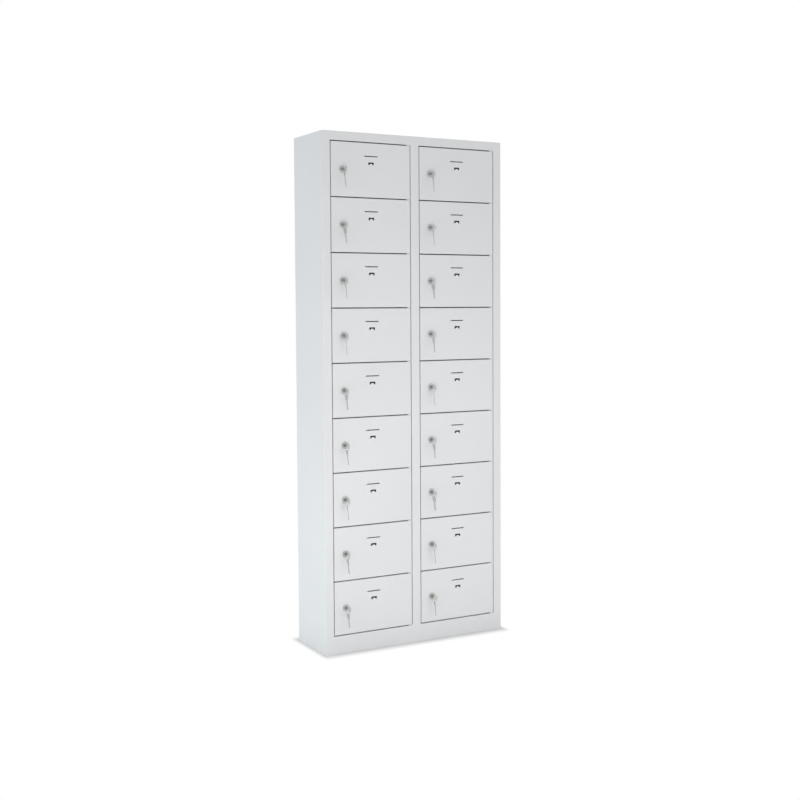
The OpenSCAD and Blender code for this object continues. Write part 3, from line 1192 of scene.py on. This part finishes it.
@dataclass
class DoorLeaf:
    """The pressed door pan, drawn from its lower left front corner, in mm.

    slot and window: width, height, and drop of the middle from the door's top.
    window_rounds: the lower and the upper corner rounds.
    tongue: width, length, and lean in degrees. It bends over the first tongue_curve of its
    length, and its tip rounds with tongue_power, up to tongue_end of the length.
    """

    width: float = 332.0
    height: float = 201.0
    depth: float = 18.0
    sheet: float = 1.2
    bend: float = 1.6
    corner: float = 2.0
    fold: float = 12.0
    lock_x: float = 47.0
    lock_hole: float = 9.3
    lock_square: float = 14.0
    slot: tuple[float, float, float] = (56.0, 3.5, 49.0)
    slot_round: float = 1.6
    window: tuple[float, float, float] = (23.0, 10.0, 76.0)
    window_rounds: tuple[float, float] = (0.5, 1.6)
    tongue: tuple[float, float, float] = (13.0, 5.1, 12.0)
    tongue_curve: float = 0.35
    tongue_power: float = 2.3
    tongue_end: float = 0.995

    def opening(self, size: tuple[float, float, float], low: float, high: float) -> Window:
        """The opening given by width, height and drop of its middle from the door's top."""
        wide, tall, drop = size
        x, z = self.width / 2, self.height - drop
        return Window((x - wide / 2, x + wide / 2), (z - tall / 2, z + tall / 2), low, high)

    def mesh(self) -> bpy.types.Mesh:
        """The pan as one sheet with the thickness behind it.

        Front: a grid of cells with the lock hole, slot and window. Edge: stations round the
        outline times a section that rolls from the front into the side wall, P = c + d rho.
        Back folds: the same rolled inwards along both upright sides. Tongue: a strip whose
        lean grows with its length.

        Returns:
            The finished mesh.
        """
        c, r = self.corner, self.bend
        slot = self.opening(self.slot, self.slot_round, self.slot_round)
        window = self.opening(self.window, *self.window_rounds)
        half = self.tongue[0] / 2
        mid_x, mid_z, square = self.width / 2, self.height / 2, self.lock_square
        marks_x = slot.breaks[0] + window.breaks[0] + [mid_x - half, mid_x + half]
        marks_z = slot.breaks[1] + window.breaks[1]
        marks_x += [c, self.width - c, self.lock_x - square, self.lock_x + square]
        marks_z += [c, self.height - c, mid_z - square, mid_z + square]
        xs, zs = (np.unique(np.round(marks, 6)) for marks in (marks_x, marks_z))
        skin = Skin()
        lock = (self.lock_x, mid_z)
        plate_with_holes(skin, xs, zs, 0.0, [lock], self.lock_hole, windows=(slot, window))
        centres, ways = outline(xs, zs, 6)
        wall_end = self.depth - r
        section = np.concatenate([[[0.0, 0.0]], arc((c - r, r), r, -90, 0, 6), [[c, wall_end]]])
        skin.roll(centres, ways, section, around=True)
        fold = np.concatenate([arc((c - r, wall_end), r, 0, 90, 5), [[c - self.fold, self.depth]]])
        tail = np.array([[c, wall_end], [c, self.depth]])
        right, left = (np.flatnonzero(np.abs(ways[:, 0] - side) < SAME) for side in (1.0, -1.0))
        top = np.arange(right[-1], left[0] + 1)
        bottom = np.arange(left[-1], len(ways) + right[0] + 1) % len(ways)
        for run, shape in ((right, fold), (left, fold), (top, tail), (bottom, tail)):
            skin.roll(centres[run], ways[run], shape)
        self._tongue(skin, window.z[0], mid_x, half)
        mesh = skin.mesh("pan", closed=False)
        outward(mesh, (0.0, -1.0, 0.0))
        return Edging(thickness=self.sheet, angle=30).apply(mesh)

    def _tongue(self, skin: Skin, root_z: float, mid_x: float, half: float) -> None:
        """Adds the lanced tongue: x = middle + u w(s), and y and z add up the lean along s.

        The lean grows over the first third of the length. Half the width closes to a round top
        as (1 - q^p)^(1 / p), with p the power, and q from 0 at the foot to nearly 1 at the tip.

        Args:
            skin: Where the faces go.
            root_z: Height of the tongue's foot.
            mid_x: Its middle across.
            half: Half its width.
        """
        length, lean = self.tongue[1], math.radians(self.tongue[2])
        shares = [0, 0.12, 0.25, 0.38, 0.5, 0.62, 0.73, 0.82, 0.9, 0.96, 0.99, 1.0]
        s = length * np.array(shares)
        a = lean * np.clip(s / (self.tongue_curve * length), 0, 1)
        mean, ds = (a[1:] + a[:-1]) / 2, np.diff(s)
        y = np.concatenate([[0.0], -np.cumsum(np.sin(mean) * ds)])
        z = root_z + np.concatenate([[0.0], np.cumsum(np.cos(mean) * ds)])
        q = np.clip(s / length, 0, self.tongue_end)
        w = half * (1 - q**self.tongue_power) ** (1 / self.tongue_power)
        x = mid_x + np.array([[-1.0], [1.0]]) * w
        skin.grid(np.stack(np.broadcast_arrays(x, y, z), axis=-1))


@dataclass
class CamLock:
    """Cam lock drawn on its axis: housing and nut fixed in the door, plug and cam that turn.

    keyway: half the width, half the height, and depth of its floor.
    nut: width across the flats, and depth of its front and back.
    socket: radius inside its flats, and how deep it is.
    soft: the small cut at edges; rim_round: the rolled edge of the flange.
    dish and barrel_tip: points by their inset from the radius, and their distance from the
    flange's face or the barrel's end.
    thread: depth of the first ring, step between rings, and how deep a groove is; it stops
    thread_end before the barrel's end.
    crown: radius where the nut's cut starts, in halves of its flats; crown_slope: rise of the
    cut; pole_r: radius of the small rings that the weld closes.
    steps and nut_steps: steps round the axis.
    """

    rosette_r: float = 14.0
    face: float = -2.55
    seat: float = -0.05
    bore: float = 6.55
    barrel_r: float = 9.25
    barrel_end: float = 22.3
    plug_r: float = 6.5
    plug_face: float = -2.15
    plug_end: float = 22.45
    keyway: tuple[float, float, float] = (1.1, 4.0, 20.1)
    nut: tuple[float, float, float] = (24.0, 1.25, 5.25)
    cam_y: tuple[float, float] = (22.5, 24.5)
    cam_l: float = 45.0
    cam_w: float = 14.0
    cam_root: float = 9.0
    cam_tip: float = 2.5
    screw_r: float = 4.5
    screw_y: tuple[float, float] = (24.55, 26.95)
    screw_dome: float = 1.6
    socket: tuple[float, float] = (1.5, 1.3)
    soft: float = 0.25
    rim_round: float = 1.3
    dish: tuple[tuple[float, float], ...] = ((3.0, 0.35), (2.4, 0.05))
    thread: tuple[float, float, float] = (1.6, 0.5, 0.45)
    thread_end: float = 0.6
    barrel_tip: tuple[tuple[float, float], ...] = ((0.5, 0.4), (0.9, 0.0))
    crown: float = 1.04
    crown_slope: float = 0.6
    pole_r: float = 0.01
    steps: int = 48
    nut_steps: int = 72

    def housing(self) -> bpy.types.Mesh:
        """Front flange with a rolled edge and a shallow dish, and a barrel ringed by its thread."""
        r, face, seat, soft = self.rosette_r, self.face, self.seat, self.soft
        inner = [(self.bore, face + soft), (self.bore + soft, face)]
        dish = [(r - inset, face + sunk) for inset, sunk in self.dish]
        edge = arc((r - self.rim_round, face + self.rim_round), self.rim_round, -90, 0, 6)
        under = [(r, seat - soft), (r - soft, seat), (self.barrel_r, seat)]
        start, step, deep = self.thread
        y = np.arange(start, self.barrel_end - self.thread_end, step)
        thread = np.column_stack([self.barrel_r - deep * (np.arange(len(y)) % 2 == 0), y])
        tip = [(self.barrel_r - inset, self.barrel_end - back) for inset, back in self.barrel_tip]
        rings = [*inner, *dish, *edge, *under, *thread, *tip, (self.bore, self.barrel_end)]
        skin = Skin()
        skin.grid(turned(rings, self.steps), around_u=True, around_v=True)
        return Edging(angle=35).apply(skin.mesh("lock_housing"))

    def lock_nut(self) -> bpy.types.Mesh:
        """Hexagon nut, whose corners a cone cuts at both faces."""
        flats, low, high = self.nut
        corner, crown = hexagon(flats / 2, self.nut_steps), flats / 2 * self.crown
        cut = np.clip((corner - crown) * self.crown_slope, 0, None)
        bore, face = self.barrel_r + 0.05, np.minimum(corner, crown)
        rings = [
            (bore, low), (face, low), (corner, low + cut),
            (corner, high - cut), (face, high), (bore, high),
        ]
        skin = Skin()
        skin.grid(turned(rings, self.nut_steps), around_u=True, around_v=True)
        return Edging(angle=25).apply(skin.mesh("lock_nut"))

    def plug(self) -> bpy.types.Mesh:
        """Plug: a disc whose face is two half rounds beside the keyway, which sinks into it."""
        w, h, deep = self.keyway
        r, y, inner = self.plug_r, self.plug_face, self.plug_r - self.soft
        skin = Skin()
        side = [(inner, y), (r, y + self.soft), (r, self.plug_end)]
        skin.grid(turned(side, self.steps), around_u=True)
        for start, way in ((-90, 1), (90, -1)):
            ring = arc((0, 0), inner, start, start + 180, 24)
            edge = np.array([(0.0, h), (w, h), (w, -h), (0.0, -h)]) * way
            skin.polygon(in_space(np.concatenate([ring, edge]), y))
        skin.polygon(skin.wall(np.array([(w, -h), (w, h), (-w, h), (-w, -h)]), y, deep)[1])
        skin.polygon(turned(side[-1:], self.steps)[:, 0])
        return Edging(angle=35).apply(skin.mesh("plug"))

    def cam(self) -> bpy.types.Mesh:
        """Flat cam hanging down: round root, straight arm and rounded tip, with soft edges."""
        w, reach, tip = self.cam_w / 2, self.cam_l, self.cam_tip
        lift = math.degrees(math.acos(w / self.cam_root))
        root = arc((0, 0), self.cam_root, -lift, 180 + lift, 30)
        left = arc((-w + tip, -reach + tip), tip, 180, 270, 5)
        right = arc((w - tip, -reach + tip), tip, 270, 360, 5)
        loop = np.concatenate([root, left, right])
        return Edging(round=0.3, angle=50).apply(flat_plate("cam", loop, *self.cam_y))

    def cam_screw(self) -> bpy.types.Mesh:
        """Screw head: a low dome with a hexagon socket, closed by welding its small pole rings."""
        low, high = self.screw_y
        across, deep = self.socket
        dome, pole = self.screw_dome, self.pole_r
        wall, floor = hexagon(across, self.steps), high - deep
        top = arc((self.screw_r - dome, high - dome), dome, 90, 0, 5)
        rings = [(pole, floor), (wall, floor), (wall, high), *top, (self.screw_r, low), (pole, low)]
        skin = Skin()
        skin.grid(turned(rings, self.steps), around_u=True)
        return Edging(angle=35).apply(skin.mesh("cam_screw", weld=3 * pole * MM))


def flat_plate(name: str, loop: np.ndarray, front: float, back: float) -> bpy.types.Mesh:
    """A flat plate between two depths: two faces and a wall P(s, v) = loop(s) at depth v.

    Args:
        name: Name of the mesh.
        loop: Closed outline in x and z, shape (n, 2).
        front: Depth of the front face.
        back: Depth of the back face.

    Returns:
        The closed plate.
    """
    skin = Skin()
    for rim in skin.wall(loop, front, back):
        skin.polygon(rim)
    return skin.mesh(name)


@dataclass(frozen=True)
class Wave:
    """An angle that changes from door to door, in degrees."""

    middle: float
    swing: float
    per_row: float
    per_column: float

    def angle(self, row: int, column: int) -> float:
        """The angle: middle + swing sin(per_row row + per_column column)."""
        turned_by = self.per_row * row + self.per_column * column
        return self.middle + self.swing * math.sin(math.radians(turned_by))


@dataclass
class KeySet:
    """The keys and their split ring: a key lies along x with its bow centred on the origin.

    point: length of the tip, and its height at the end.
    cuts: depth of each cut, from the tip on; cut_flat: half the flat at its bottom.
    bow_out and ring_out: how far the bow's and the ring's middle stand out from the doors.
    wire_pitch: rise of the ring in one turn, in radii of its wire.
    ring_stations and wire_sides: points along the wire, and round it.
    """

    bow_r: float = 12.0
    hole_r: float = 2.2
    hole_out: float = 6.0
    thick: float = 1.8
    shank_l: float = 36.0
    shank_h: float = 7.6
    bow_lap: float = 1.5
    point: tuple[float, float] = (3.0, 1.0)
    first_cut: float = 5.6
    cut_pitch: float = 3.6
    cuts: tuple[float, ...] = (1.45, 0.6, 1.7, 0.9, 1.35)
    cut_flat: float = 0.25
    ring_r: float = 10.0
    wire_r: float = 0.42
    bow_out: float = 26.7
    ring_out: float = 32.7
    hang: float = 11.25
    spare_lean: float = 6.0
    ring_turns: float = 1.92
    wire_pitch: float = 2.1
    ring_stations: int = 73
    wire_sides: int = 8
    ring_lean: Wave = Wave(45.0, 4.0, 97.0, 140.0)
    spare_turn: Wave = Wave(-14.0, 16.0, 106.0, 215.0)

    def blank(self) -> bpy.types.Mesh:
        """A key: two half outlines that meet on the middle line, so that the hole stays open.

        Upper half: bow arc, shank edge with V cuts, point; lower half: the same without cuts.

        Returns:
            The finished mesh, thickness along z.
        """
        half = self.shank_h / 2
        tip = self.bow_lap - self.bow_r - self.shank_l
        meet = math.degrees(math.asin(half / self.bow_r))
        bow = arc((0, 0), self.bow_r, 0, 180 - meet, 24)
        hole = arc((self.hole_out, 0), self.hole_r, 180, 0, 12)
        depth = np.array(self.cuts)[::-1]
        place = tip + self.first_cut + np.arange(len(depth))[::-1] * self.cut_pitch
        flat = np.full_like(depth, self.cut_flat)
        across = place[:, None] + np.stack([depth, flat, -flat, -depth], axis=-1)
        down = half - depth[:, None] * np.array([0.0, 1.0, 1.0, 0.0])
        top = np.stack([across, down], axis=-1).reshape(-1, 2)
        ends = [(tip + self.point[0], half), (tip, self.point[1] / 2), (tip, 0.0)]
        upper = np.concatenate([bow, top, ends])
        lower = np.concatenate([bow, ends]) * (1, -1)
        skin = Skin()
        for edge, upside in ((upper, 1), (lower, -1)):
            loop = np.concatenate([edge, hole * (1, upside)])
            for z in (self.thick / 2, -self.thick / 2):
                skin.polygon(in_space(loop, z, UP))
        rim = np.concatenate([upper, lower[::-1][1:-1]])
        ring = arc((self.hole_out, 0), self.hole_r, 0, 360, 24)[:-1]
        for loop in (rim, ring):
            skin.wall(loop, -self.thick / 2, self.thick / 2, UP)
        return Edging(round=0.25).apply(skin.mesh("key"))

    def split_ring(self) -> bpy.types.Mesh:
        """Nearly two turns of wire, a circle carried along a flat spiral.

        The middle line is ring_r (cos a, sin a), its depth rises by wire_pitch wire radii a turn,
        and the wire's section is a circle square to it.

        Returns:
            The finished mesh.
        """
        a = np.linspace(0, 2 * math.pi * self.ring_turns, self.ring_stations)[:, None]
        b = np.linspace(0, 2 * math.pi, self.wire_sides, endpoint=False)[None]
        radial = self.ring_r + self.wire_r * np.cos(b)
        rise = self.wire_pitch * self.wire_r * (a / (2 * math.pi) - self.ring_turns / 2)
        depth = rise + self.wire_r * np.sin(b)
        grid = np.stack([radial * np.cos(a), depth, radial * np.sin(a)], axis=-1)
        skin = Skin()
        skin.grid(grid, around_v=True)
        skin.polygon(grid[0])
        skin.polygon(grid[-1])
        return Edging(angle=50).apply(skin.mesh("key_ring"))


@dataclass
class DoorSet:
    """All doors with their locks and keys, each on its own body."""

    cabinet: Cabinet
    leaf: DoorLeaf = field(default_factory=DoorLeaf)
    lock: CamLock = field(default_factory=CamLock)
    keys: KeySet = field(default_factory=KeySet)
    rows: int = 9
    pitch: float = 205.0
    gap: float = 3.0
    top_door: float = 1712.0

    def build(self) -> None:
        """Builds one mesh of each kind and places a copy of it for every door."""
        kinds = {
            "pan": self.leaf.mesh(),
            "lock_housing": self.lock.housing(),
            "lock_nut": self.lock.lock_nut(),
            "plug": self.lock.plug(),
            "cam": self.lock.cam(),
            "cam_screw": self.lock.cam_screw(),
            "key": self.keys.blank(),
            "key_ring": self.keys.split_ring(),
        }
        for name, mesh in kinds.items():
            log.info("%s: %d faces in each of %d", name, len(mesh.polygons), 2 * self.rows)
        for c, column in enumerate(Column):
            for row in range(1, self.rows + 1):
                self._place(kinds, c, column, row)
        for mesh in kinds.values():
            bpy.data.meshes.remove(mesh)

    def _place(self, kinds: dict[str, bpy.types.Mesh], c: int, column: Column, row: int) -> None:
        """Places one door with its lock.

        Args:
            kinds: The mesh of each kind of piece.
            c: Number of the column, from 0.
            column: The column.
            row: Number of the row, from 1 at the top.
        """
        x, z = column.opening_x + self.gap, self.top_door - (row - 1) * self.pitch
        tag = f"{column.letter}{row}"
        door, lock = f"door_{tag}", f"lock_{tag}"
        y, k = self.cabinet.face_y, self.keys
        ax, az = x + self.leaf.lock_x, z + self.leaf.height / 2
        axis = at(ax, y, az)
        lean, spin = math.radians(k.ring_lean.angle(row, c)), k.spare_turn.angle(row - 1, c)
        centre = at(ax - k.ring_r * math.sin(lean), y - k.ring_out, az - k.ring_r * math.cos(lean))
        hung = centre @ at(0, 0, -k.hang) @ turn(-k.spare_lean, "Y") @ turn(spin, "Z")
        spare = hung @ turn(-90, "Y") @ at(-k.hole_out, 0, 0)
        inserted = at(ax, y - k.bow_out, az) @ turn(-90, "Z") @ turn(90, "X")
        for body, name, kind, place, finish in (
            (door, "pan", "pan", at(x, y, z), PAINT),
            (door, "lock_housing", "lock_housing", axis, NICKEL),
            (door, "lock_nut", "lock_nut", axis, ZINC),
            (door, "key_ring", "key_ring", centre, KEY_NICKEL),
            (door, "spare_key", "key", spare, KEY_NICKEL),
            (lock, "plug", "plug", axis, PLUG_NICKEL_PAINTED_SHADE),
            (lock, "cam", "cam", axis, ZINC),
            (lock, "cam_screw", "cam_screw", axis, ZINC),
            (lock, "key", "key", inserted, NICKEL),
        ):
            piece(f"{body}_{name}", moved(kinds[kind], place), finish, body, body)


# Stage


def axes(right: np.ndarray, up: np.ndarray, back: np.ndarray) -> Matrix:
    """The turn whose x, y and z axes are three given directions."""
    return Matrix(np.column_stack([right, up, back]).tolist()).to_4x4()


@dataclass(frozen=True)
class Lamp:
    """A soft rectangular lamp that the camera doesn't see; places and sizes are in metres."""

    name: str
    place: tuple[float, float, float]
    aim: tuple[float, float, float]
    size: tuple[float, float]
    watts: float
    colour: tuple[float, float, float] = (1.0, 1.0, 1.0)
    mirrored: bool = True

    def build(self) -> None:
        """Adds the lamp, turned towards its aim; metal shows it only where it is mirrored."""
        data = bpy.data.lights.new(self.name, "AREA")
        data.shape, data.size, data.size_y = "RECTANGLE", *self.size
        data.energy, data.color = self.watts, self.colour
        ob = added(self.name, data)
        ob.visible_camera, ob.visible_glossy = False, self.mirrored
        way = np.array(self.place) - np.array(self.aim)
        way /= np.linalg.norm(way)
        side = np.cross((0, 0, 1), way)
        side /= np.linalg.norm(side)
        ob.matrix_world = Matrix.Translation(self.place) @ axes(side, np.cross(way, side), way)


@dataclass
class Studio:
    """Camera, lamps, floor and surroundings.

    place is in heights of the cabinet, from its front left foot; the angles are in degrees.
    room: strength of what metal mirrors towards -y and towards +y, blended over room_turn.
    shadow_reach: how far the shadow on the floor reaches from the foot along x and y, in metres.
    floor_shadow_tones: the floor's tone at the foot, darkened as painted shadow, and its tone
    shadow_tone_reach shadow reaches away.
    """

    lens: float = 53.606
    place: tuple[float, float, float] = (-0.95228, -2.04462, 0.66619)
    yaw: float = 28.647
    pitch: float = 3.268
    roll: float = -0.326
    shift: float = -0.03
    ambient: float = 0.69
    room: tuple[float, float] = (0.55, 1.0)
    room_turn: float = 0.4
    shadow_reach: tuple[float, float] = (0.030, 0.060)
    shadow_glow: float = 0.22
    # The floor's diffuse tone, darker at the foot as painted shadow
    floor_shadow_tones: tuple[float, float] = (0.5, 0.82)
    shadow_tone_reach: float = 3.0
    floor_half: float = 30.0
    mirrored_floor: float = 0.62
    lamps: tuple[Lamp, ...] = (
        Lamp("front_box", (-0.42, -2.5, 0.43), (0.0, 0.0, 0.43), (2.0, 0.82), 22.9, mirrored=False),
        Lamp("left_box", (-3.2, 0.2, 0.6), (0.0, 0.0, 0.7), (2.2, 2.2), 23.4, (0.86, 0.96, 1.0)),
        Lamp("low_box", (-1.6, 0.1, 0.24), (-0.39, 0.05, 0.2), (1.0, 0.42), 3.0, (0.9, 0.97, 1.0)),
    )

    def camera(self, cabinet: Cabinet) -> None:
        """Camera at the photograph's place, in heights of the cabinet from its front left foot.

        Args:
            cabinet: The cabinet that it looks at.
        """
        x, y, z = (v * cabinet.height for v in self.place)
        data = bpy.data.cameras.new("camera")
        data.lens, data.sensor_width, data.sensor_fit = self.lens, 36.0, "HORIZONTAL"
        data.shift_y = self.shift
        data.clip_end = 100
        yaw, pitch, roll = (math.radians(angle) for angle in (self.yaw, self.pitch, self.roll))
        flat = math.cos(pitch)
        ahead = np.array([math.sin(yaw) * flat, math.cos(yaw) * flat, -math.sin(pitch)])
        level = np.array([math.cos(yaw), -math.sin(yaw), 0.0])
        upright = np.cross(level, ahead)
        right = level * math.cos(roll) + upright * math.sin(roll)
        up = upright * math.cos(roll) - level * math.sin(roll)
        ob = added("camera", data)
        ob.matrix_world = at(x - cabinet.half, y + cabinet.face_y, z) @ axes(right, up, -ahead)
        bpy.context.scene.camera = ob

    def surroundings(self) -> None:
        """A world: white to the camera, a graded room to metal, and plain light to the rest."""
        world = bpy.data.worlds.new("world")
        bpy.context.scene.world = world
        nodes = fresh(world)
        rays = nodes.add("ShaderNodeLightPath").outputs
        way = nodes.add("ShaderNodeNewGeometry").outputs["Position"]
        along = nodes.add("ShaderNodeSeparateXYZ", {"Vector": way}).outputs[1]
        front = nodes.spread(along, -self.room_turn, self.room_turn, *self.room)
        room, plain, white = (
            nodes.add("ShaderNodeBackground", {"Color": WHITE, "Strength": strength}).outputs[0]
            for strength in (front, self.ambient, 1.0)
        )
        glossy = nodes.math("MAXIMUM", rays["Is Glossy Ray"], rays["Is Transmission Ray"])
        last = nodes.mixed(rays["Is Camera Ray"], nodes.mixed(glossy, plain, room), white)
        nodes.add("ShaderNodeOutputWorld", {"Surface": last})

    def floor(self, cabinet: Cabinet) -> None:
        """A white floor that keeps the locker's shadow.

        It is diffuse white, its tone darkened towards the foot as painted shadow, and the camera
        sees a little glow on it as well. With the distance from the locker's foot,
        |max(|p - middle| - half, 0) / reach|, that turns into plain white, which is full outside the
        contact shadow. Metal mirrors the floor as a plain dim surface.

        Args:
            cabinet: The cabinet that stands on it.
        """
        w = self.floor_half
        mesh = bpy.data.meshes.new("floor")
        mesh.from_pydata([(-w, -w, 0), (w, -w, 0), (w, w, 0), (-w, w, 0)], [], [(0, 1, 2, 3)])
        material = bpy.data.materials.new("floor_white")
        nodes = fresh(material)
        away = nodes.add("ShaderNodeTexCoord").outputs["Object"]
        middle = (0.0, (cabinet.face_y + cabinet.depth / 2) * MM, 0.0)
        half = (cabinet.half * MM, cabinet.depth / 2 * MM, 0.0)
        for operation, other in (
            ("SUBTRACT", middle),
            ("ABSOLUTE", (0, 0, 0)),
            ("SUBTRACT", half),
            ("MAXIMUM", (0, 0, 0)),
            ("DIVIDE", (*self.shadow_reach, 1.0)),
        ):
            away = nodes.vector(operation, away, other).outputs[0]
        far = nodes.vector("LENGTH", away).outputs["Value"]
        outside = nodes.spread(far, 0.0, 1.0, kind="SMOOTHSTEP")
        # Painted shadow: the floor's diffuse tone darkens towards the foot, which also dims what it
        # bounces onto the plinth
        tone = nodes.spread(far, 0.0, self.shadow_tone_reach, *self.floor_shadow_tones)
        rays = nodes.add("ShaderNodeLightPath").outputs
        seen, mirrored = rays["Is Camera Ray"], rays["Is Glossy Ray"]
        matt = nodes.add("ShaderNodeBsdfDiffuse", {"Color": tone}).outputs[0]
        lift = nodes.math("MULTIPLY", seen, self.shadow_glow)
        glow, white, dim = (
            nodes.add("ShaderNodeEmission", {"Strength": strength}).outputs[0]
            for strength in (lift, 1.0, self.mirrored_floor)
        )
        near = nodes.add("ShaderNodeAddShader", {0: matt, 1: glow}).outputs[0]
        both = nodes.mixed(nodes.math("MULTIPLY", seen, outside), near, white)
        nodes.add("ShaderNodeOutputMaterial", {"Surface": nodes.mixed(mirrored, both, dim)})
        mesh.materials.append(material)
        ob = added("floor", mesh)

    def build(self, cabinet: Cabinet) -> None:
        """Sets the camera, lamps, floor and surroundings.

        Args:
            cabinet: The cabinet that the camera looks at.
        """
        bpy.context.scene.view_settings.view_transform = "Standard"
        self.camera(cabinet)
        self.surroundings()
        self.floor(cabinet)
        for lamp in self.lamps:
            lamp.build()
        log.info("studio set")


def main() -> None:
    """Builds the locker and its studio."""
    logging.basicConfig(level=logging.INFO, format="%(message)s")
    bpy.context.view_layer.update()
    cabinet = Cabinet()
    Studio().build(cabinet)
    cabinet.build()
    DoorSet(cabinet).build()
    log.info("sizes written")


if __name__ == "__main__":
    main()
